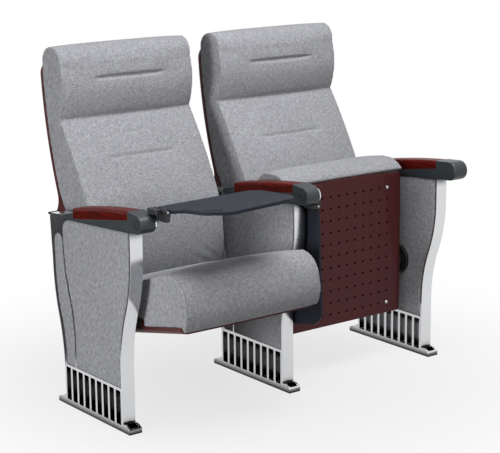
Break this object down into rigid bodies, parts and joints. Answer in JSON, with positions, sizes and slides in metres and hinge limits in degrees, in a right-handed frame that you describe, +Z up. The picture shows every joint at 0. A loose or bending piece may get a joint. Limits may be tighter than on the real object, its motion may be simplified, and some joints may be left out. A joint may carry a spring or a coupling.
{
  "type": "tip-up conference chair unit",
  "caption": "Tip-up conference chair pair on shared cast standards with slotted feet, padded high backs, perforated tip-up seats, wood-capped armrests and folding writing tablets.",
  "frame": {"origin": "on the floor, in the middle of the anchor holes of the feet, under the centre standard", "axes": "+X along the row to the right of someone facing the seats, -Y the way a sitter faces, +Z up"},
  "size_m": [1.217, 0.8055, 1.0617],
  "materials": {
    "polished_aluminium": "polished casting",
    "grey_fabric": "heathered woven upholstery",
    "slate_plastic": "satin moulded",
    "cap_wood": "gloss lacquer",
    "shell_wood": "satin lacquer",
    "barrel_chrome": "polished",
    "tablet_laminate": "satin",
    "black_nylon": "moulded",
    "black_steel": "powder coat",
    "bright_steel": "zinc plated"
  },
  "bodies": {
    "frame": {"arm_cap_centre": "cap_wood", "arm_cap_left": "cap_wood", "arm_cap_right": "cap_wood", "arm_housing_centre": "slate_plastic", "arm_housing_left": "slate_plastic", "arm_housing_right": "slate_plastic", "back_bolts": "bright_steel", "back_bracket_left_far": "black_steel", "back_bracket_left_near": "black_steel", "back_bracket_right_far": "black_steel", "back_bracket_right_near": "black_steel", "back_cushion_left": "grey_fabric", "back_cushion_right": "grey_fabric", "back_shell_left": "shell_wood", "back_shell_right": "shell_wood", "fold_pin_left": "bright_steel", "hinge_hub_left_far": "black_nylon", "hinge_hub_left_near": "black_nylon", "hinge_hub_right_far": "black_nylon", "hinge_hub_right_near": "black_nylon", "hinge_pins_left": "bright_steel", "hinge_pins_right": "bright_steel", "main_panel_centre_far": "grey_fabric", "main_panel_centre_near": "grey_fabric", "main_panel_left_far": "grey_fabric", "main_panel_left_near": "grey_fabric", "main_panel_right_far": "grey_fabric", "main_panel_right_near": "grey_fabric", "pivot_pin_left": "black_nylon", "pivot_pin_right": "black_nylon", "rear_panel_centre_far": "grey_fabric", "rear_panel_centre_near": "grey_fabric", "rear_panel_left_far": "grey_fabric", "rear_panel_left_near": "grey_fabric", "rear_panel_right_far": "grey_fabric", "rear_panel_right_near": "grey_fabric", "standard_centre": "polished_aluminium", "standard_left": "polished_aluminium", "standard_right": "polished_aluminium", "tablet_barrel_left": "barrel_chrome", "tablet_bracket_left": "black_steel"},
    "left_seat": {"hinge_plate_left_far": "black_steel", "hinge_plate_left_near": "black_steel", "seat_cushion_left": "grey_fabric", "seat_frame_left": "black_steel", "seat_pan_left": "shell_wood", "seat_screws_left": "bright_steel"},
    "right_seat": {"hinge_plate_right_far": "black_steel", "hinge_plate_right_near": "black_steel", "seat_cushion_right": "grey_fabric", "seat_frame_right": "black_steel", "seat_pan_right": "shell_wood", "seat_screws_right": "bright_steel"},
    "left_tablet": {"tablet_board_left": "tablet_laminate"},
    "right_tablet": {"fold_pin_right": "bright_steel", "tablet_barrel_right": "barrel_chrome", "tablet_board_right": "tablet_laminate", "tablet_bracket_right": "black_steel"}
  },
  "joints": [
    {"name": "left_seat_tip", "type": "hinge", "parent": "frame", "child": "left_seat", "pos_m": [-0.29, -0.052, 0.305], "axis": [-1, 0, 0], "range_deg": [0, 78]},
    {"name": "right_seat_tip", "type": "hinge", "parent": "frame", "child": "right_seat", "pos_m": [0.29, -0.052, 0.305], "axis": [1, 0, 0], "range_deg": [0, 78]},
    {"name": "left_tablet_fold", "type": "hinge", "parent": "frame", "child": "left_tablet", "pos_m": [-0.544, -0.297, 0.663], "axis": [0, -1, 0], "range_deg": [0, 90]},
    {"name": "right_tablet_swing", "type": "hinge", "parent": "frame", "child": "right_tablet", "pos_m": [0, -0.266, 0.626], "axis": [-1, 0, 0], "range_deg": [0, 180]}
  ]
}
